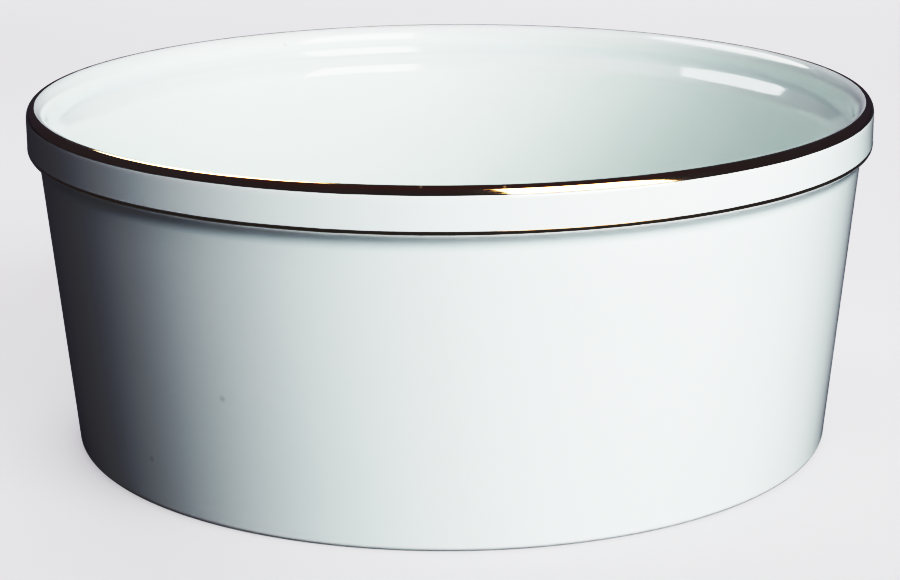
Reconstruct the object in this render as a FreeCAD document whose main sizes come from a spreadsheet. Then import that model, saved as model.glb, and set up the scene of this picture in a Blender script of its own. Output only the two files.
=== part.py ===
import FreeCAD, Part
import math
import os
import Sketcher

# A straight-sided porcelain baking dish: one section turned about the Z axis.
# Origin: the middle of the plane that the foot ring stands on, with +Z up.
# Millimetres and degrees.

# Driving dimensions: alias, value, what it measures.
SIZES = (
    ("collar_diameter", 190.0, "outer diameter of the raised collar round the rim"),
    ("height", 77.4, "foot plane to the top of the lip"),
    ("wall_draft", 5.4, "lean of the wall away from upright"),
    ("wall_thickness", 4.9, "thickness of the wall, square to its face"),
    ("floor_thickness", 5.0, "thickness of the floor over the recess"),
    ("collar_height", 9.3, "top of the lip to the lower corner of the collar"),
    ("collar_step", 2.45, "how far the collar stands out from the wall"),
    ("underside_rise", 1.75, "how much the underside of the collar climbs outwards"),
    ("lip_width", 4.3, "outer face to inner face at the lip"),
    ("ledge_depth", 5.95, "top of the lip to the upper corner of the inner ledge"),
    ("ledge_drop", 4.2, "how far the inner ledge falls to the wall"),
    ("foot_ring_width", 6.0, "breadth of the ring that the dish stands on"),
    ("recess_depth", 1.5, "how far the underside is set up inside the foot ring"),
    ("recess_slant", 1.3, "how far the edge of the recess leans in from the foot ring"),
    ("lip_round", 1.9, "radius on the outer edge of the lip"),
    ("lip_bevel", 1.2, "bevel on the inner edge of the lip"),
    ("arris_bevel", 0.6, "bevel on the lower corner of the collar"),
    ("ledge_round", 3.5, "radius of the hollow and of the swell of the inner ledge"),
    ("floor_round", 9.0, "radius between the inner wall and the floor"),
    ("foot_bevel", 0.9, "bevel between the wall and the foot plane"),
)

# Eased corners of the section: corner, whether it is a round or a bevel, its size,
# the length beside it that limits the size, and the largest share of that length.
EASED = (
    ("foot_outer", "bevel", "foot_bevel", "foot_ring_width", 0.3),
    ("collar_foot", "bevel", "arris_bevel", "collar_step", 0.5),
    ("lip_outer", "round", "lip_round", "lip_width", 0.6),
    ("lip_inner", "bevel", "lip_bevel", "lip_width", 0.3),
    ("ledge_top", "round", "ledge_round", "ledge_drop", 1.3),
    ("ledge_foot", "round", "ledge_round", "ledge_drop", 1.3),
    ("floor_edge", "round", "floor_round", "height", 0.4),
)

# How a sketch numbers the ends of a line or an arc, its own two axes and its origin.
START, END = range(1, 3)
RADIAL_AXIS = -1
TURNING_AXIS = RADIAL_AXIS - 1
ROOT = (RADIAL_AXIS, START)


def make_sheet(doc):
    sheet = doc.addObject("Spreadsheet::Sheet", "Sizes")
    for row, (alias, value, meaning) in enumerate(SIZES, start=1):
        sheet.set("A%d" % row, alias)
        sheet.set("B%d" % row, str(value))
        sheet.setAlias("B%d" % row, alias)
        sheet.set("C%d" % row, meaning)
    return sheet


def section_corners(sheet):
    """The corners of the section, radius and height, before they are eased."""
    slope = math.tan(math.radians(sheet.wall_draft))
    across_wall = sheet.wall_thickness / math.cos(math.radians(sheet.wall_draft))
    collar = sheet.collar_diameter / 2
    collar_foot = sheet.height - sheet.collar_height
    wall_top = collar_foot - sheet.underside_rise
    foot = collar - sheet.collar_step - slope * wall_top
    ring = foot - sheet.foot_ring_width
    ledge_top = sheet.height - sheet.ledge_depth
    ledge_foot = ledge_top - sheet.ledge_drop
    floor = sheet.recess_depth + sheet.floor_thickness
    inside = foot - across_wall
    return {
        "recess_centre": (0, sheet.recess_depth),
        "recess_edge": (ring - sheet.recess_slant, sheet.recess_depth),
        "ring_inner": (ring, 0),
        "foot_outer": (foot, 0),
        "wall_top": (collar - sheet.collar_step, wall_top),
        "collar_foot": (collar, collar_foot),
        "lip_outer": (collar, sheet.height),
        "lip_inner": (collar - sheet.lip_width, sheet.height),
        "ledge_top": (collar - sheet.lip_width, ledge_top),
        "ledge_foot": (inside + slope * ledge_foot, ledge_foot),
        "floor_edge": (inside + slope * floor, floor),
        "floor_centre": (0, floor),
    }


def ease_corner(before, corner, after, kind, size):
    """The arc or short line across a corner, its two ends, and whether it turns left."""
    arriving = (corner - before).normalize()
    leaving = (after - corner).normalize()
    turn = math.atan2(arriving.x * leaving.y - arriving.y * leaving.x, arriving.dot(leaving))
    setback = size * math.tan(abs(turn) / 2) if kind == "round" else size
    first = corner - arriving * setback
    last = corner + leaving * setback
    if kind == "bevel":
        return Part.LineSegment(first, last), first, last, True
    centre = first + FreeCAD.Vector(-arriving.y, arriving.x, 0) * math.copysign(size, turn)
    angles = [math.atan2(point.y - centre.y, point.x - centre.x) for point in (first, last)]
    if turn < 0:
        angles.reverse()
    circle = Part.Circle(centre, FreeCAD.Vector(0, 0, 1), size)
    return Part.ArcOfCircle(circle, *angles), first, last, turn > 0


def draw_section(body, sheet):
    """The outline of the section, with every size bound to the sheet."""
    sketch = body.newObject("Sketcher::SketchObject", "dish_section")
    plane = next(item for item in body.Origin.OriginFeatures if item.Role == "XZ_Plane")
    sketch.AttachmentSupport = [(plane, "")]
    sketch.MapMode = "FlatFace"

    corners = section_corners(sheet)
    names = list(corners)
    points = {name: FreeCAD.Vector(*place, 0) for name, place in corners.items()}
    eased = {corner: rule for corner, *rule in EASED}

    # Each eased corner is an arc or a short line, and its sharp point stays as construction.
    easings = {}
    marks = {}
    for number, name in enumerate(names):
        marks[name] = sketch.addGeometry(Part.Point(points[name]), True)
        if name in eased:
            kind, alias, limit, share = eased[name]
            size = min(getattr(sheet, alias), getattr(sheet, limit) * share)
            before = points[names[number - 1]]
            after = points[names[(number + 1) % len(names)]]
            easing, first, last, turns_left = ease_corner(before, points[name], after, kind, size)
            easings[name] = (sketch.addGeometry(easing, False), first, last, turns_left)

    # Straight stretches, each named by the corner that it leaves.
    lines = {}
    for number, name in enumerate(names):
        after = names[(number + 1) % len(names)]
        start = easings[name][2] if name in easings else points[name]
        end = easings[after][1] if after in easings else points[after]
        lines[name] = sketch.addGeometry(Part.LineSegment(start, end), False)

    def bind(constraint, name, formula):
        index = sketch.addConstraint(constraint)
        sketch.renameConstraint(index, name)
        sketch.setExpression("Constraints." + name, formula)

    # The outline is closed: tangent through the rounds, and corner to corner elsewhere.
    for number, name in enumerate(names):
        arriving = lines[names[number - 1]]
        leaving = lines[name]
        mark = marks[name]
        if name not in eased:
            sketch.addConstraint(Sketcher.Constraint("Coincident", arriving, END, leaving, START))
            sketch.addConstraint(Sketcher.Constraint("Coincident", leaving, START, mark, START))
            continue
        kind, alias, limit, share = eased[name]
        size = "min(Sizes.%s; Sizes.%s * %s)" % (alias, limit, share)
        easing, first, last, turns_left = easings[name]
        first_end, last_end = (START, END) if turns_left else (END, START)
        joint = "Tangent" if kind == "round" else "Coincident"
        sketch.addConstraint(Sketcher.Constraint("PointOnObject", mark, START, arriving))
        sketch.addConstraint(Sketcher.Constraint("PointOnObject", mark, START, leaving))
        sketch.addConstraint(Sketcher.Constraint(joint, arriving, END, easing, first_end))
        sketch.addConstraint(Sketcher.Constraint(joint, leaving, START, easing, last_end))
        if kind == "round":
            radius = sketch.Geometry[easing].Radius
            bind(Sketcher.Constraint("Radius", easing, radius), name + "_round", size)
        else:
            for side, point in (("before", first), ("after", last)):
                setback = (point - points[name]).Length
                end = START if side == "before" else END
                bind(Sketcher.Constraint("Distance", mark, START, easing, end, setback),
                     "%s_bevel_%s" % (name, side), size)

    for name in ("recess_centre", "ring_inner", "lip_outer", "floor_edge"):
        sketch.addConstraint(Sketcher.Constraint("Horizontal", lines[name]))
    for name in ("collar_foot", "lip_inner", "floor_centre"):
        sketch.addConstraint(Sketcher.Constraint("Vertical", lines[name]))
    sketch.addConstraint(Sketcher.Constraint("PointOnObject", marks["foot_outer"], START, RADIAL_AXIS))
    sketch.addConstraint(Sketcher.Constraint("PointOnObject", marks["floor_centre"], START, TURNING_AXIS))
    sketch.addConstraint(Sketcher.Constraint("Parallel", lines["foot_outer"], lines["ledge_foot"]))

    def across(name, first, last, formula):
        """Distance between two corners along the radius, bound to the sheet."""
        start = (marks[first], START) if first else ROOT
        value = corners[last][0] - (corners[first][0] if first else 0)
        bind(Sketcher.Constraint("DistanceX", *start, marks[last], START, value), name, formula)

    def up(name, first, last, formula):
        """Distance between two corners along the height, bound to the sheet."""
        start = (marks[first], START) if first else ROOT
        value = corners[last][1] - (corners[first][1] if first else 0)
        bind(Sketcher.Constraint("DistanceY", *start, marks[last], START, value), name, formula)

    across("collar_radius", None, "lip_outer", "Sizes.collar_diameter / 2")
    across("step", "wall_top", "collar_foot", "Sizes.collar_step")
    across("lip", "lip_inner", "lip_outer", "Sizes.lip_width")
    across("ring", "ring_inner", "foot_outer", "Sizes.foot_ring_width")
    across("slant", "recess_edge", "ring_inner", "Sizes.recess_slant")
    up("lip_height", None, "lip_outer", "Sizes.height")
    up("collar", "collar_foot", "lip_outer", "Sizes.collar_height")
    up("rise", "wall_top", "collar_foot", "Sizes.underside_rise")
    up("ledge", "ledge_top", "lip_inner", "Sizes.ledge_depth")
    up("drop", "ledge_foot", "ledge_top", "Sizes.ledge_drop")
    up("recess", None, "recess_centre", "Sizes.recess_depth")
    up("floor", "recess_centre", "floor_centre", "Sizes.floor_thickness")
    lean = math.radians(90 - sheet.wall_draft)
    bind(Sketcher.Constraint("Angle", lines["foot_outer"], lean), "lean", "90 deg - Sizes.wall_draft * 1 deg")
    bind(Sketcher.Constraint("Distance", marks["ledge_foot"], START, lines["foot_outer"], sheet.wall_thickness),
         "wall", "Sizes.wall_thickness")
    return sketch


def make_dish(doc, sheet):
    """Porcelain body: tapered wall, collar, lip, inner ledge, floor and foot ring in one."""
    body = doc.addObject("PartDesign::Body", "dish")
    body.Label = "dish"
    section = draw_section(body, sheet)
    doc.recompute()

    turned = body.newObject("PartDesign::Revolution", "turned_body")
    turned.Profile = section
    turned.ReferenceAxis = (section, ["V_Axis"])
    turned.Angle = 360
    body.Tip = turned
    body.Placement = FreeCAD.Placement()
    return body


def check(doc, parts):
    for item in doc.Objects:
        bad = {"Invalid", "Error"} & set(item.State)
        if bad:
            raise RuntimeError("%s is %s" % (item.Label, ", ".join(sorted(bad))))
        if item.TypeId == "Sketcher::SketchObject" and not item.FullyConstrained:
            raise RuntimeError("%s is not fully constrained" % item.Label)
    for part in parts:
        if part.Shape.isNull() or not part.Shape.isValid():
            raise RuntimeError(part.Label + " has no valid shape")


def main():
    doc = FreeCAD.newDocument("souffle_dish")
    sheet = make_sheet(doc)
    doc.recompute()
    parts = [make_dish(doc, sheet)]
    doc.recompute()
    check(doc, parts)

    os.makedirs("parts", exist_ok=True)
    for part in parts:
        part.Shape.exportStep("parts/%s.step" % part.Label)
        box = part.Shape.optimalBoundingBox(False, False)
        print("%s: %.2f x %.2f x %.2f mm, %.1f cm3" % (
            part.Label, box.XLength, box.YLength, box.ZLength, part.Shape.Volume / 1000))


main()
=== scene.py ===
import math
from collections import namedtuple

import bpy
from mathutils import Matrix, Vector


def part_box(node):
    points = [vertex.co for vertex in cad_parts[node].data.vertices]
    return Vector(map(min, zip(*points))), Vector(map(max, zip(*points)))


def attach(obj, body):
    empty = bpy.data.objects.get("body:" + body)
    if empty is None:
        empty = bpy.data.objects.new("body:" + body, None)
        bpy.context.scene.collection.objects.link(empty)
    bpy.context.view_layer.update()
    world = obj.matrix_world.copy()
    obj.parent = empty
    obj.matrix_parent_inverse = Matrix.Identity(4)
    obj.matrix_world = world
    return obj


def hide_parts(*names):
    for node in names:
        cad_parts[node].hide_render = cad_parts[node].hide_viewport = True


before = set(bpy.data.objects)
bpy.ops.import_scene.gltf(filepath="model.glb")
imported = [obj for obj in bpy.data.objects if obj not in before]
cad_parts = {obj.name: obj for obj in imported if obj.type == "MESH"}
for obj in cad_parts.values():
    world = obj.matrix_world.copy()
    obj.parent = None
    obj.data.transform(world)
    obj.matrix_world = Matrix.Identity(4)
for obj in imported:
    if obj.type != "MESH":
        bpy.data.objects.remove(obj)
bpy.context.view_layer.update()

# A straight-sided souffle dish in white glazed porcelain, with two gilded lines.
# It is one turned body, so its whole shape is a half section swept about the upright axis.

MM = 0.001
BODY = "root"

# Sizes of the dish
FILM = 0.03 * MM                        # how far the gilding and the bare clay stand off the glaze
RIM_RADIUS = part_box("dish")[1].x - FILM
RIM_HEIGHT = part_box("dish")[1].z - FILM
WALL_DRAFT = math.radians(5.4)
FLOOR_HEIGHT = 6.5 * MM
COLLAR_HEIGHT = 9.6 * MM
COLLAR_STEP = 2.45 * MM
UNDERSIDE_RISE = 1.75 * MM
LIP_WIDTH = 4.3 * MM
LEDGE_DEPTH = 5.95 * MM
LEDGE_DROP = 4.2 * MM
LEDGE_STEP = 2.7 * MM
FOOT_RING_WIDTH = 6.0 * MM
RECESS_DEPTH = 1.5 * MM
RECESS_SLANT = 1.3 * MM

# How far each corner is eased along the two lines that meet there
RECESS_EASE = 0.6 * MM
RING_EASE = 0.7 * MM
FOOT_EASE = 1.2 * MM
COVE_EASE = 1.7 * MM
ARRIS_EASE = 0.7 * MM
LIP_OUTER_EASE = (2.5 * MM, 1.57 * MM)
LIP_INNER_EASE = (2.7 * MM, 3.4 * MM)
LEDGE_EASE = 1.3 * MM
FLOOR_EASE = 8.0 * MM

# How finely the section and the turning are cut
SEGMENTS = 288
BODY_STEPS = 18                         # rows in each eased corner of the body
BAND_STEPS = 90                         # and of the finer section that the bands follow
SUPPORT = 0.35 * MM                     # a row this far from each eased corner keeps the flats flat
SHORTEST_FLAT = 3 * SUPPORT             # that gets such rows
TOUCHING = 0.001 * MM

# Where the gilding and the bare clay lie on the section, as (radius, height) of their two edges
RIM_BAND = ((RIM_RADIUS, 75.76 * MM), (93.15 * MM, RIM_HEIGHT))
FINE_LINE = ((RIM_RADIUS, 68.0 * MM), (RIM_RADIUS, 68.74 * MM))
BARE_RING_WIDTH = 4.4 * MM              # of the foot's flat face, between its two eased edges
BARE_EDGE_HEIGHT = 0.16 * MM
BAND_ROWS = 97

# How the edges of a band waver
WAVER_REPEATS = 9.0
WAVER_DETAIL = 3.0
WAVER_GAIN = 4.0                        # a noise seldom strays more than a quarter from its middle
NOISE_MIDDLE = 0.5
OTHER_EDGE = 7.0                        # between the seeds of a band's two edges
EDGE_FEATHER = 5.0                      # how steeply a band's thickness rises at its edges

# The camera of the photograph, in metres and degrees
CAMERA_PLACE = Vector((0.0, -0.5371, 0.18125))
CAMERA_PITCH = 15.66
CAMERA_YAW = -0.026
CAMERA_ROLL = -0.379
CAMERA_LENS = 96.15                     # and the sensor's width, in mm
CAMERA_SENSOR = 36.0
CAMERA_CLIP = (0.01, 50.0)


# Node helpers

def add_node(tree, kind, sockets=None, **settings):
    """A node with its settings. Each socket gets a plain value, or is wired to the given output."""
    node = tree.nodes.new(kind)
    for name, value in settings.items():
        setattr(node, name, value)
    for key, value in (sockets or {}).items():
        if isinstance(value, bpy.types.NodeSocket):
            tree.links.new(value, node.inputs[key])
        else:
            node.inputs[key].default_value = value
    return node


def calculate(tree, operation, *values):
    """The result of one Math node."""
    node = add_node(tree, "ShaderNodeMath", dict(enumerate(values)), operation=operation)
    return node.outputs[0]


def whole_number(tree, operation, *values):
    """The result of one Integer Math node."""
    node = add_node(tree, "FunctionNodeIntegerMath", dict(enumerate(values)), operation=operation)
    return node.outputs[0]


def add_inputs(tree, sockets):
    """Makes a tree's inputs from {name: kind or (kind, default)}, and returns them by name."""
    for name, kind in sockets.items():
        kind, default = kind if isinstance(kind, tuple) else (kind, None)
        socket = tree.interface.new_socket(
            name, in_out="INPUT", socket_type="NodeSocket" + kind)
        if default is not None:
            socket.default_value = default
    return tree.nodes.new("NodeGroupInput").outputs


# The half section

Corner = namedtuple("Corner", "radius height before after bend")


def corner(radius, height, ease=0.0, bend=0):
    """A corner of the section, eased so far, that stands out (1) or is a hollow (-1)."""
    before, after = ease if isinstance(ease, tuple) else (ease, ease)
    return Corner(radius, height, before, after, bend)


def section_corners():
    """The corners, from the middle of the underside round to the middle of the floor inside."""
    wall_top = RIM_RADIUS - COLLAR_STEP
    collar_foot = RIM_HEIGHT - COLLAR_HEIGHT
    wall_top_height = collar_foot - UNDERSIDE_RISE
    foot = wall_top - (wall_top_height - FILM) * math.tan(WALL_DRAFT)
    ring_inner = foot - FOOT_RING_WIDTH
    bore = RIM_RADIUS - LIP_WIDTH
    ledge_top = RIM_HEIGHT - LEDGE_DEPTH
    ledge_foot = ledge_top - LEDGE_DROP
    ledge_radius = bore - LEDGE_STEP
    floor_edge = ledge_radius - (ledge_foot - FLOOR_HEIGHT) * math.tan(WALL_DRAFT)
    return [
        corner(0.0, RECESS_DEPTH),
        corner(ring_inner - RECESS_SLANT, RECESS_DEPTH, RECESS_EASE, -1),
        corner(ring_inner, FILM, RING_EASE, 1),
        corner(foot, FILM, FOOT_EASE, 1),
        corner(wall_top, wall_top_height, COVE_EASE, -1),
        corner(RIM_RADIUS, collar_foot, ARRIS_EASE, 1),
        corner(RIM_RADIUS, RIM_HEIGHT, LIP_OUTER_EASE, 1),
        corner(bore, RIM_HEIGHT, LIP_INNER_EASE, 1),
        corner(bore, ledge_top, LEDGE_EASE, -1),
        corner(ledge_radius, ledge_foot, LEDGE_EASE, 1),
        corner(floor_edge, FLOOR_HEIGHT, FLOOR_EASE, -1),
        corner(0.0, FLOOR_HEIGHT),
    ]


def eased(before, here, after, steps):
    """Points of a rounded corner, on a conic tangent to both lines, each with its bend in 1/mm."""
    place = Vector((here.radius, here.height))
    back = (Vector((before.radius, before.height)) - place).normalized()
    on = (Vector((after.radius, after.height)) - place).normalized()
    start, end = place + back * here.before, place + on * here.after
    turn = math.pi - back.angle(on)
    weight = math.cos(turn / 2)
    sharpness = turn / ((here.before + here.after) / MM)
    points = []
    for step in range(steps + 1):
        t = step / steps
        shares = ((1 - t) ** 2, 2 * weight * t * (1 - t), t * t)
        point = (start * shares[0] + place * shares[1] + end * shares[2]) / sum(shares)
        points.append((point, here.bend * sharpness))
    return points


def section_points(steps):
    """The whole section as (point, bend) from pole to pole, with a row beside each eased corner."""
    corners = section_corners()
    points = [(Vector((corners[0].radius, corners[0].height)), 0.0)]
    stretches = [eased(*three, steps) for three in zip(corners, corners[1:], corners[2:])]
    stretches.append([(Vector((corners[-1].radius, corners[-1].height)), 0.0)])
    for stretch in stretches:
        last, first = points[-1][0], stretch[0][0]
        line = first - last
        if line.length > SHORTEST_FLAT:
            aside = line.normalized() * SUPPORT
            if len(points) > 1:
                points.append((last + aside, 0.0))
            if len(stretch) > 1:
                points.append((first - aside, 0.0))
        if line.length < TOUCHING:
            points.pop()
        points += stretch
    return points


def length_at(points, radius, height):
    """The length along the section to its point nearest to that place."""
    wanted = Vector((radius, height))
    travelled, nearest, found = 0.0, math.inf, 0.0
    for (start, _), (end, _) in zip(points, points[1:]):
        line = end - start
        share = min(max((wanted - start).dot(line) / line.length_squared, 0.0), 1.0)
        gap = (start + line * share - wanted).length
        if gap < nearest:
            nearest, found = gap, travelled + line.length * share
        travelled += line.length
    return found


def section_mesh(name, points):
    """The section as a row of edges in the plane of X and Z, with the bend at each point."""
    mesh = bpy.data.meshes.new(name)
    places = [(point.x, 0.0, point.y) for point, _ in points]
    edges = [(i, i + 1) for i in range(len(places) - 1)]
    mesh.from_pydata(places, edges, [])
    bends = mesh.attributes.new("bend", "FLOAT", "POINT")
    bends.data.foreach_set("value", [bend for _, bend in points])
    return mesh


# The lathe, in Geometry Nodes

def turning_grid(tree, rows, segments):
    """A grid to be wrapped round the axis: its mesh, and the row and angle of each point."""
    columns = whole_number(tree, "ADD", segments, 1)
    grid = add_node(tree, "GeometryNodeMeshGrid", {"Vertices X": rows, "Vertices Y": columns})
    index = add_node(tree, "GeometryNodeInputIndex").outputs[0]
    row = whole_number(tree, "DIVIDE_FLOOR", index, columns)
    column = whole_number(tree, "MODULO", index, columns)
    turned = calculate(tree, "DIVIDE", column, segments)
    angle = calculate(tree, "MULTIPLY", turned, -2 * math.pi)
    return grid.outputs["Mesh"], row, angle


def turn_to(tree, place, angle):
    """A place in the section's plane, turned about the upright axis."""
    node = add_node(tree, "ShaderNodeVectorRotate", {"Vector": place, "Angle": angle},
                    rotation_type="Z_AXIS")
    return node.outputs[0]


def mark_points(tree, geometry, name, value):
    """The geometry with a value kept on its points, for the finish to read."""
    node = add_node(tree, "GeometryNodeStoreNamedAttribute", {
        "Geometry": geometry, "Name": name, "Value": value,
    }, data_type="FLOAT", domain="POINT")
    return node.outputs[0]


def finish_tree(tree, geometry, seam, material):
    """Closes seams and poles, and ends the tree in Realize Instances and Set Material."""
    tree.interface.new_socket("Geometry", in_out="OUTPUT", socket_type="NodeSocketGeometry")
    merged = add_node(tree, "GeometryNodeMergeByDistance", {"Geometry": geometry, "Distance": seam})
    smooth = add_node(tree, "GeometryNodeSetShadeSmooth", {"Geometry": merged.outputs[0]})
    real = add_node(tree, "GeometryNodeRealizeInstances", {"Geometry": smooth.outputs[0]})
    finish = add_node(tree, "GeometryNodeSetMaterial", {
        "Geometry": real.outputs[0], "Material": material,
    })
    output = tree.nodes.new("NodeGroupOutput")
    tree.links.new(finish.outputs[0], output.inputs["Geometry"])


def lathe_tree():
    """Turns every point of a section into a ring of the body."""
    tree = bpy.data.node_groups.new("lathe", "GeometryNodeTree")
    given = add_inputs(tree, {
        "Section": "Geometry", "Segments": "Int", "Seam": "Float", "Material": "Material",
    })
    count = add_node(tree, "GeometryNodeAttributeDomainSize", {"Geometry": given["Section"]})
    grid, row, angle = turning_grid(tree, count.outputs["Point Count"], given["Segments"])
    place = add_node(tree, "GeometryNodeSampleIndex", data_type="FLOAT_VECTOR", sockets={
        "Geometry": given["Section"], "Index": row,
        "Value": tree.nodes.new("GeometryNodeInputPosition").outputs[0],
    })
    bend_here = add_node(tree, "GeometryNodeInputNamedAttribute", {"Name": "bend"},
                         data_type="FLOAT")
    bend = add_node(tree, "GeometryNodeSampleIndex", data_type="FLOAT", sockets={
        "Geometry": given["Section"], "Index": row, "Value": bend_here.outputs["Attribute"],
    })
    marked = mark_points(tree, grid, "bend", bend.outputs[0])
    wrapped = add_node(tree, "GeometryNodeSetPosition", {
        "Geometry": marked, "Position": turn_to(tree, place.outputs[0], angle),
    })
    finish_tree(tree, wrapped.outputs[0], given["Seam"], given["Material"])
    return tree


def wavering(tree, angle, seed, repeats, amount):
    """A hand's waver round the dish, from -amount to amount, that meets itself after one turn."""
    there = turn_to(tree, (1.0, 0.0, 0.0), angle)
    shifted = add_node(tree, "ShaderNodeVectorMath", operation="ADD", sockets={
        0: there, 1: add_node(tree, "ShaderNodeCombineXYZ", {"Z": seed}).outputs[0],
    })
    noise = add_node(tree, "ShaderNodeTexNoise", {
        "Vector": shifted.outputs[0], "Scale": repeats, "Detail": WAVER_DETAIL,
    })
    centred = calculate(tree, "SUBTRACT", noise.outputs[0], NOISE_MIDDLE)
    return calculate(tree, "MULTIPLY", centred, calculate(tree, "MULTIPLY", amount, WAVER_GAIN))


def band_tree():
    """Lays a thin closed film on the body, between two lengths along the section that waver."""
    tree = bpy.data.node_groups.new("band", "GeometryNodeTree")
    given = add_inputs(tree, {
        "Section": "Geometry", "Start": "Float", "End": "Float", "Film": "Float",
        "Waver": "Float", "Repeats": ("Float", WAVER_REPEATS), "Seed": "Float",
        "Feather": ("Float", EDGE_FEATHER), "Rows": "Int",
        "Segments": "Int", "Seam": "Float", "Material": "Material",
    })
    grid, row, angle = turning_grid(tree, given["Rows"], given["Segments"])
    line = add_node(tree, "GeometryNodeMeshToCurve", {"Mesh": given["Section"]})
    share = calculate(tree, "DIVIDE", row, whole_number(tree, "SUBTRACT", given["Rows"], 1))
    doubled = calculate(tree, "MULTIPLY_ADD", share, 2.0, -1.0)
    across = calculate(tree, "SUBTRACT", 1.0, calculate(tree, "ABSOLUTE", doubled))
    start = calculate(tree, "ADD", given["Start"], wavering(
        tree, angle, given["Seed"], given["Repeats"], given["Waver"]))
    other_seed = calculate(tree, "ADD", given["Seed"], OTHER_EDGE)
    end = calculate(tree, "ADD", given["End"], wavering(
        tree, angle, other_seed, given["Repeats"], given["Waver"]))
    length = add_node(tree, "ShaderNodeMapRange", {
        "Value": across, "To Min": start, "To Max": end,
    }).outputs[0]
    sample = add_node(tree, "GeometryNodeSampleCurve", {
        "Curves": line.outputs[0], "Length": length,
    }, mode="LENGTH", use_all_curves=True)
    wave = calculate(tree, "SINE", calculate(tree, "MULTIPLY", share, 2 * math.pi))
    steep = calculate(tree, "MULTIPLY", wave, given["Feather"])
    side = calculate(tree, "MINIMUM", calculate(tree, "MAXIMUM", steep, -1.0), 1.0)
    outward = add_node(tree, "ShaderNodeVectorMath", operation="CROSS_PRODUCT", sockets={
        0: (0.0, 1.0, 0.0), 1: sample.outputs["Tangent"],
    })
    lift = add_node(tree, "ShaderNodeVectorMath", operation="SCALE", sockets={
        0: outward.outputs[0], "Scale": calculate(tree, "MULTIPLY", side, given["Film"]),
    })
    place = add_node(tree, "ShaderNodeVectorMath", operation="ADD", sockets={
        0: sample.outputs["Position"], 1: lift.outputs[0],
    })
    marked = mark_points(tree, grid, "across", across)
    wrapped = add_node(tree, "GeometryNodeSetPosition", {
        "Geometry": marked, "Position": turn_to(tree, place.outputs[0], angle),
    })
    finish_tree(tree, wrapped.outputs[0], given["Seam"], given["Material"])
    return tree


def turned_piece(name, section, tree, values, material):
    """One finished piece: the tree run on the section, made a plain mesh, riding on the body."""
    piece = bpy.data.objects.new(name, section.copy())
    bpy.context.collection.objects.link(piece)
    modifier = piece.modifiers.new("turning", "NODES")
    modifier.node_group = tree
    identifiers = {item.name: item.identifier for item in tree.interface.items_tree
                   if item.in_out == "INPUT"}
    for key, value in {**values, "Segments": SEGMENTS, "Material": material}.items():
        modifier[identifiers[key]] = value
    graph = bpy.context.evaluated_depsgraph_get()
    made = bpy.data.meshes.new_from_object(
        piece.evaluated_get(graph), preserve_all_data_layers=True, depsgraph=graph)
    piece.modifiers.remove(modifier)
    piece.data = made
    made.name = name
    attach(piece, BODY)
    return piece


# Effects that the finishes share, as shader node groups

def effect(name, inputs, outputs):
    """An empty shader node group: the group, its input sockets by name and its output node."""
    group = bpy.data.node_groups.new(name, "ShaderNodeTree")
    given = add_inputs(group, inputs)
    for output, kind in outputs.items():
        group.interface.new_socket(output, in_out="OUTPUT", socket_type="NodeSocket" + kind)
    return group, given, group.nodes.new("NodeGroupOutput")


def turning_marks():
    """Marks that run round the dish, as brush strokes and a profile tool's rings do."""
    group, given, output = effect("turning_marks", {
        "Place": "Vector", "Along": ("Float", 6.0), "Across": ("Float", 900.0),
        "Detail": ("Float", 4.0),
    }, {"Height": "Float"})
    flat = add_node(group, "ShaderNodeVectorMath", operation="MULTIPLY", sockets={
        0: given["Place"], 1: (1.0, 1.0, 0.0),
    }).outputs[0]
    radius = add_node(group, "ShaderNodeVectorMath", {0: flat}, operation="LENGTH").outputs["Value"]
    direction = add_node(group, "ShaderNodeVectorMath", {0: flat}, operation="NORMALIZE")
    around = add_node(group, "ShaderNodeVectorMath", operation="SCALE", sockets={
        0: direction.outputs[0], "Scale": given["Along"],
    }).outputs[0]
    height = add_node(group, "ShaderNodeSeparateXYZ", {0: given["Place"]}).outputs["Z"]
    slant = calculate(group, "SUBTRACT", radius, height)
    depth = calculate(group, "MULTIPLY", slant, given["Across"])
    place = add_node(group, "ShaderNodeVectorMath", operation="ADD", sockets={
        0: around, 1: add_node(group, "ShaderNodeCombineXYZ", {"Z": depth}).outputs[0],
    }).outputs[0]
    noise = add_node(group, "ShaderNodeTexNoise", {
        "Vector": place, "Scale": 1.0, "Detail": given["Detail"],
    })
    group.links.new(noise.outputs[0], output.inputs["Height"])
    return group


def sparse_specks():
    """Round specks scattered thinly over a surface, as a mask."""
    group, given, output = effect("sparse_specks", {
        "Place": "Vector", "Scale": ("Float", 100.0), "Share": ("Float", 0.1),
        "Size": ("Float", 0.1),
    }, {"Mask": "Float"})
    cells = add_node(group, "ShaderNodeTexVoronoi", {
        "Vector": given["Place"], "Scale": given["Scale"],
    })
    drawn = add_node(group, "ShaderNodeSeparateColor", {"Color": cells.outputs["Color"]}).outputs[0]
    chosen = calculate(group, "LESS_THAN", drawn, given["Share"])
    edge = add_node(group, "ShaderNodeMapRange", interpolation_type="SMOOTHSTEP", sockets={
        "Value": cells.outputs["Distance"], "From Min": given["Size"],
        "From Max": calculate(group, "MULTIPLY", given["Size"], 0.5), "To Min": 0.0, "To Max": 1.0,
    }).outputs[0]
    group.links.new(calculate(group, "MULTIPLY", chosen, edge), output.inputs["Mask"])
    return group


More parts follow.
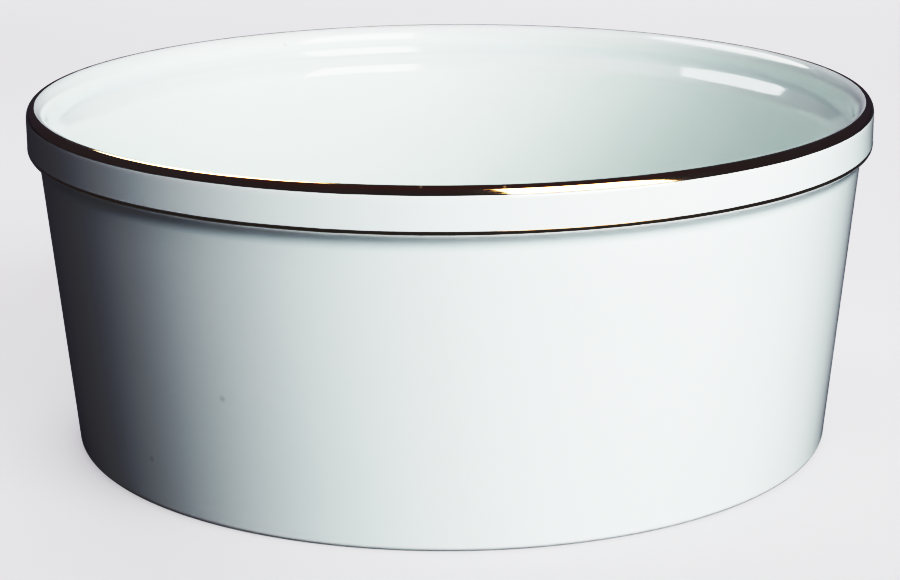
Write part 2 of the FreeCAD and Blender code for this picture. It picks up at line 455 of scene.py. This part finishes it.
def soft_clouds():
    """Slow soft patches, such as handling marks or an uneven coat, as a mask from 0 to 1."""
    group, given, output = effect("soft_clouds", {
        "Place": "Vector", "Scale": ("Float", 12.0), "Low": ("Float", 0.35),
        "High": ("Float", 0.65),
    }, {"Mask": "Float"})
    noise = add_node(group, "ShaderNodeTexNoise", {
        "Vector": given["Place"], "Scale": given["Scale"], "Detail": 5.0, "Roughness": 0.55,
    })
    patches = add_node(group, "ShaderNodeMapRange", interpolation_type="SMOOTHSTEP", sockets={
        "Value": noise.outputs[0], "From Min": given["Low"], "From Max": given["High"],
    })
    group.links.new(patches.outputs[0], output.inputs["Mask"])
    return group


def single_spot():
    """One soft round spot at a named place, as a mask."""
    group, given, output = effect("single_spot", {
        "Place": "Vector", "Where": "Vector", "Size": ("Float", 0.001),
    }, {"Mask": "Float"})
    gap = add_node(group, "ShaderNodeVectorMath", operation="DISTANCE", sockets={
        0: given["Place"], 1: given["Where"],
    })
    mask = add_node(group, "ShaderNodeMapRange", interpolation_type="SMOOTHSTEP", sockets={
        "Value": gap.outputs["Value"], "From Max": given["Size"], "To Min": 1.0, "To Max": 0.0,
    })
    group.links.new(mask.outputs[0], output.inputs["Mask"])
    return group


EFFECTS = {
    "marks": turning_marks(), "specks": sparse_specks(), "clouds": soft_clouds(),
    "spot": single_spot(),
}


# Finishes

GLAZE_COOL = (0.765, 0.85, 0.81, 1.0)
GLAZE_PALE = (0.795, 0.865, 0.825, 1.0)
GLAZE_POOLED = (0.69, 0.79, 0.77, 1.0)
GLAZE_THINNED = (0.84, 0.86, 0.83, 1.0)
GLAZE_SPECK = (0.42, 0.40, 0.36, 1.0)
GLAZE_ROUGHNESS = (0.05, 0.11)
GLAZE_IOR = 1.52

GOLD_BRIGHT = (0.84, 0.63, 0.33, 1.0)
GOLD_DULL = (0.76, 0.54, 0.26, 1.0)
GOLD_STREAK = (0.60, 0.40, 0.18, 1.0)
GOLD_EDGE = (0.10, 0.05, 0.04, 1.0)
GOLD_RUBBED = (0.42, 0.34, 0.28, 1.0)
GOLD_ROUGHNESS = (0.05, 0.14)

CLAY_CLEAN = (0.76, 0.73, 0.67, 1.0)
CLAY_GREYED = (0.62, 0.59, 0.53, 1.0)
CLAY_GRIT = (0.38, 0.34, 0.29, 1.0)
CLAY_ROUGHNESS = (0.72, 0.88)

# Small blemishes, as place and size in mm: specks in the glaze, and rubbed spots in the gold
GLAZE_SPOTS = (((-46.3, -76.1, 29.5), 1.1), ((-63.0, -60.4, 11.2), 1.0), ((-42.6, 80.1, 74.5), 0.9))
GLAZE_SPOT_STRENGTH = 0.3
GOLD_SPOTS = (((-5.6, -93.7, 77.2), 0.5), ((10.3, -93.5, 77.1), 0.6))
GOLD_SPOT_STRENGTH = 0.5


def new_finish(name):
    """A material that is one Principled BSDF: the material, its tree and the shader."""
    material = bpy.data.materials.new(name)
    material.use_nodes = True
    tree = material.node_tree
    tree.nodes.clear()
    shader = tree.nodes.new("ShaderNodeBsdfPrincipled")
    output = tree.nodes.new("ShaderNodeOutputMaterial")
    tree.links.new(shader.outputs[0], output.inputs["Surface"])
    return material, tree, shader


def use(tree, effect_name, **sockets):
    """One of the shared effects in a material, on Object coordinates, with its own values."""
    node = tree.nodes.new("ShaderNodeGroup")
    node.node_tree = EFFECTS[effect_name]
    place = add_node(tree, "ShaderNodeTexCoord").outputs["Object"]
    tree.links.new(place, node.inputs["Place"])
    for name, value in sockets.items():
        node.inputs[name.capitalize()].default_value = value
    return node.outputs[0]


def blend(tree, share, first, second):
    """A mix of two colours by a share."""
    node = tree.nodes.new("ShaderNodeMix")
    node.data_type = "RGBA"
    for key, value in (("Factor_Float", share), ("A_Color", first), ("B_Color", second)):
        socket = next(s for s in node.inputs if s.identifier == key)
        if isinstance(value, bpy.types.NodeSocket):
            tree.links.new(value, socket)
        else:
            socket.default_value = value
    return next(s for s in node.outputs if s.identifier == "Result_Color")


def spread(tree, value, low, high, start=0.0, end=1.0):
    """A value from start to end brought to low to high."""
    return add_node(tree, "ShaderNodeMapRange", {
        "Value": value, "From Min": start, "From Max": end, "To Min": low, "To Max": high,
    }).outputs[0]


def blemish(tree, where, size, strength):
    """How strongly a small blemish shows, with its place and size in mm."""
    mask = use(tree, "spot", where=tuple(value * MM for value in where), size=size * MM)
    return calculate(tree, "MULTIPLY", mask, strength)


def relief(tree, height, strength, distance, **under):
    """The normal of a low relief, laid over the normal given for under it."""
    sockets = {"Height": height, "Strength": strength, "Distance": distance * MM, **under}
    return add_node(tree, "ShaderNodeBump", sockets).outputs[0]


def glaze():
    """White porcelain under a clear cool glaze, which pools in hollows and thins on edges."""
    material, tree, shader = new_finish("clear_glaze")
    bend = add_node(tree, "ShaderNodeAttribute", attribute_name="bend").outputs["Fac"]
    patches = use(tree, "clouds", scale=14.0, low=0.3, high=0.7)
    colour = blend(tree, patches, GLAZE_COOL, GLAZE_PALE)
    pooled = spread(tree, bend, low=0.0, high=0.8, start=0.0, end=-0.5)
    colour = blend(tree, pooled, colour, GLAZE_POOLED)
    thinned = spread(tree, bend, low=0.0, high=0.7, start=0.1, end=0.9)
    colour = blend(tree, thinned, colour, GLAZE_THINNED)
    pinholes = use(tree, "specks", scale=55.0, share=0.03, size=0.018)
    colour = blend(tree, pinholes, colour, GLAZE_SPECK)
    for where, size in GLAZE_SPOTS:
        spot = blemish(tree, where, size, GLAZE_SPOT_STRENGTH)
        colour = blend(tree, spot, colour, GLAZE_SPECK)
    tree.links.new(colour, shader.inputs["Base Color"])
    handled = use(tree, "clouds", scale=22.0, low=0.4, high=0.75)
    tree.links.new(spread(tree, handled, *GLAZE_ROUGHNESS), shader.inputs["Roughness"])
    rings = use(tree, "marks", along=1.5, across=160.0, detail=2.0)
    peel = use(tree, "clouds", scale=70.0, low=0.0, high=1.0)
    slow = relief(tree, rings, strength=0.25, distance=0.03)
    fine = relief(tree, peel, strength=0.3, distance=0.05, Normal=slow)
    tree.links.new(fine, shader.inputs["Normal"])
    shader.inputs["IOR"].default_value = GLAZE_IOR
    return material


def gilding():
    """Bright gold brushed on as a liquid and fired, thinner and browner along its edges."""
    material, tree, shader = new_finish("fired_gold")
    across = add_node(tree, "ShaderNodeAttribute", attribute_name="across").outputs["Fac"]
    brushed = use(tree, "marks", along=9.0, across=2600.0, detail=5.0)
    patches = use(tree, "clouds", scale=60.0, low=0.35, high=0.7)
    colour = blend(tree, patches, GOLD_BRIGHT, GOLD_DULL)
    streaks = spread(tree, brushed, low=0.0, high=0.5, start=0.5, end=0.8)
    colour = blend(tree, streaks, colour, GOLD_STREAK)
    inset = calculate(tree, "MULTIPLY", across, calculate(tree, "SUBTRACT", 1.0, across))
    thin = spread(tree, inset, low=0.95, high=0.0, start=0.0, end=0.09)
    colour = blend(tree, thin, colour, GOLD_EDGE)
    metallic = 1.0
    for where, size in GOLD_SPOTS:
        rubbed = blemish(tree, where, size, GOLD_SPOT_STRENGTH)
        colour = blend(tree, rubbed, colour, GOLD_RUBBED)
        metallic = calculate(tree, "SUBTRACT", metallic, rubbed)
    roughness = spread(tree, brushed, *GOLD_ROUGHNESS, start=0.3, end=0.7)
    tree.links.new(colour, shader.inputs["Base Color"])
    tree.links.new(metallic, shader.inputs["Metallic"])
    tree.links.new(roughness, shader.inputs["Roughness"])
    strokes = relief(tree, brushed, strength=0.25, distance=0.008)
    tree.links.new(strokes, shader.inputs["Normal"])
    return material


def bare_clay():
    """The unglazed foot: matt, finely grained and a little greyed by use."""
    material, tree, shader = new_finish("bare_clay")
    greyed = use(tree, "clouds", scale=40.0, low=0.35, high=0.7)
    colour = blend(tree, greyed, CLAY_CLEAN, CLAY_GREYED)
    grit = use(tree, "specks", scale=900.0, share=0.12, size=0.3)
    colour = blend(tree, grit, colour, CLAY_GRIT)
    tree.links.new(colour, shader.inputs["Base Color"])
    tree.links.new(spread(tree, greyed, *CLAY_ROUGHNESS), shader.inputs["Roughness"])
    ground = use(tree, "marks", along=60.0, across=1800.0, detail=6.0)
    tree.links.new(relief(tree, ground, strength=0.5, distance=0.05), shader.inputs["Normal"])
    return material


# The object

Band = namedtuple("Band", "name edges waver seed material slot")


def bare_ring_edges():
    """The two edges of the bare clay, in the middle of the foot ring's flat face."""
    _, _, ring_inner, foot, *_ = section_corners()
    middle = (ring_inner.radius + foot.radius) / 2
    return tuple((middle + side * BARE_RING_WIDTH / 2, BARE_EDGE_HEIGHT) for side in (-1, 1))


def make_dish():
    section = section_mesh("section", section_points(BODY_STEPS))
    body = turned_piece(
        "dish_glazed", section, lathe_tree(), {"Seam": TOUCHING}, glaze())
    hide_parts("dish")
    points = section_points(BAND_STEPS)
    path = section_mesh("band_path", points)
    laid = band_tree()
    gold = gilding()
    bands = (
        Band("rim_gilding", RIM_BAND, 0.05 * MM, 3.0, gold, "gilding"),
        Band("fine_gilded_line", FINE_LINE, 0.04 * MM, 11.0, gold, "gilding"),
        Band("bare_foot_ring", bare_ring_edges(), 0.15 * MM, 19.0, bare_clay(), "bisque"),
    )
    for band in bands:
        start, end = (length_at(points, *edge) for edge in band.edges)
        values = {"Start": start, "End": end, "Film": FILM, "Waver": band.waver,
                  "Seed": band.seed, "Rows": BAND_ROWS, "Seam": TOUCHING}
        turned_piece(band.name, path, laid, values, band.material)


# Floor, light and camera

Softbox = namedtuple("Softbox", "name shape place looks_at width height radiance reaches")

# In metres. The glossy ones stand close, so that each part of the dish mirrors them elsewhere.
SOFTBOXES = (
    Softbox("front_light", "RECTANGLE", (0.63, -1.03, 0.52), (0.0, 0.0, 0.0),
            1.27, 1.2, 4.55, "diffuse"),
    Softbox("front_sheen", "RECTANGLE", (0.18, -0.27, 0.255), (0.03, 0.13, 0.255),
            0.235, 0.385, 4.4, "glossy"),
    Softbox("back_light", "RECTANGLE", (-0.125, 0.25, 0.34), (0.06, 0.03, 0.05),
            0.20, 0.20, 2.9, "diffuse"),
    Softbox("back_fill", "RECTANGLE", (0.03, 1.31, 0.42), (0.0, 0.0, 0.0),
            1.30, 0.90, 2.9, "diffuse"),
    Softbox("back_sheen", "ELLIPSE", (-0.1275, 0.1845, 0.3205), (0.0595, 0.0855, 0.3205),
            0.272, 0.272, 4.1, "glossy"),
)
FLOOR_RADIUS = 6.0
FLOOR_SIDES = 128
FLOOR_PALE = (0.42, 0.42, 0.426, 1.0)
FLOOR_DEEP = (0.055, 0.055, 0.085, 1.0)
FLOOR_GLOW = 0.78
FLOOR_ROUGHNESS = 0.9
FLOOR_SPECULAR = 0.1
SURROUND_PALE = (0.62, 0.62, 0.65, 1.0)
SURROUND_DEEP = (0.049, 0.037, 0.074, 1.0)
SURROUND_HIGH = (0.085, 0.03, 0.05, 1.0)
SURROUND_RISE = (0.7, 0.9)              # where the deep surround turns into the high one, upwards
BLACK = (0.0, 0.0, 0.0, 1.0)


def add_softbox(box):
    """A flat even light that reaches one kind of reflection only."""
    light = bpy.data.lights.new(box.name, "AREA")
    light.shape = box.shape
    light.size, light.size_y = box.width, box.height
    area = box.width * box.height * (math.pi / 4 if box.shape == "ELLIPSE" else 1.0)
    light.energy = box.radiance * math.pi * area
    panel = bpy.data.objects.new(box.name, light)
    bpy.context.collection.objects.link(panel)
    away = Vector(box.place) - Vector(box.looks_at)
    panel.location = box.place
    panel.rotation_euler = away.to_track_quat("Z", "Y").to_euler()
    panel.visible_camera = False
    panel.visible_diffuse = box.reaches == "diffuse"
    panel.visible_glossy = box.reaches == "glossy"


def light_the_scene():
    for box in SOFTBOXES:
        add_softbox(box)
    world = bpy.data.worlds.new("surround")
    world.use_nodes = True
    tree = world.node_tree
    tree.nodes.clear()
    seen = add_node(tree, "ShaderNodeLightPath").outputs["Is Camera Ray"]
    way = add_node(tree, "ShaderNodeTexCoord").outputs["Object"]
    upward = add_node(tree, "ShaderNodeSeparateXYZ", {0: way}).outputs["Z"]
    high = spread(tree, upward, 0.0, 1.0, *SURROUND_RISE)
    deep = blend(tree, high, SURROUND_DEEP, SURROUND_HIGH)
    colour = blend(tree, seen, deep, SURROUND_PALE)
    shade = add_node(tree, "ShaderNodeBackground", {"Color": colour})
    output = tree.nodes.new("ShaderNodeOutputWorld")
    tree.links.new(shade.outputs[0], output.inputs["Surface"])
    bpy.context.scene.world = world


def make_floor():
    """A wide plain floor, pale to the eye and deep to reflections, which keeps the gold's darks."""
    angles = [2 * math.pi * i / FLOOR_SIDES for i in range(FLOOR_SIDES)]
    ring = [(FLOOR_RADIUS * math.cos(a), FLOOR_RADIUS * math.sin(a), 0.0) for a in angles]
    mesh = bpy.data.meshes.new("floor")
    mesh.from_pydata(ring, [], [tuple(range(FLOOR_SIDES))])
    material, tree, shader = new_finish("pale_floor")
    seen = add_node(tree, "ShaderNodeLightPath").outputs["Is Camera Ray"]
    tree.links.new(blend(tree, seen, FLOOR_DEEP, FLOOR_PALE), shader.inputs["Base Color"])
    tree.links.new(blend(tree, seen, BLACK, FLOOR_PALE), shader.inputs["Emission Color"])
    shader.inputs["Emission Strength"].default_value = FLOOR_GLOW
    shader.inputs["Roughness"].default_value = FLOOR_ROUGHNESS
    shader.inputs["Specular IOR Level"].default_value = FLOOR_SPECULAR
    mesh.materials.append(material)
    floor = bpy.data.objects.new("floor", mesh)
    bpy.context.collection.objects.link(floor)


def make_camera():
    camera = bpy.data.objects.new("camera", bpy.data.cameras.new("camera"))
    bpy.context.collection.objects.link(camera)
    pitch, yaw, roll = (math.radians(angle) for angle in (CAMERA_PITCH, CAMERA_YAW, CAMERA_ROLL))
    turn = (Matrix.Rotation(-yaw, 3, "Z") @ Matrix.Rotation(math.pi / 2 - pitch, 3, "X")
            @ Matrix.Rotation(roll, 3, "Z"))
    camera.location = CAMERA_PLACE
    camera.rotation_euler = turn.to_euler()
    camera.data.sensor_width = CAMERA_SENSOR
    camera.data.lens = CAMERA_LENS
    camera.data.clip_start, camera.data.clip_end = CAMERA_CLIP
    bpy.context.scene.camera = camera


# Scene light against picture light: deep shadows and a soft shoulder
TONE = (
    (0.0, 0.0), (0.035, 0.017), (0.065, 0.026), (0.104, 0.038), (0.15, 0.078), (0.2, 0.143),
    (0.26, 0.27), (0.3, 0.361), (0.4, 0.55), (0.5, 0.695), (0.62, 0.808), (0.8, 0.905),
    (1.0, 0.965),
)
COMBINED_CURVE = 3


def set_tone():
    view = bpy.context.scene.view_settings
    view.view_transform = "Standard"
    view.use_curve_mapping = True
    curve = view.curve_mapping.curves[COMBINED_CURVE]
    while len(curve.points) < len(TONE):
        curve.points.new(0.5, 0.5)
    for point, place in zip(curve.points, TONE):
        point.location = place
    view.curve_mapping.update()


make_camera()
make_dish()
make_floor()
light_the_scene()
set_tone()
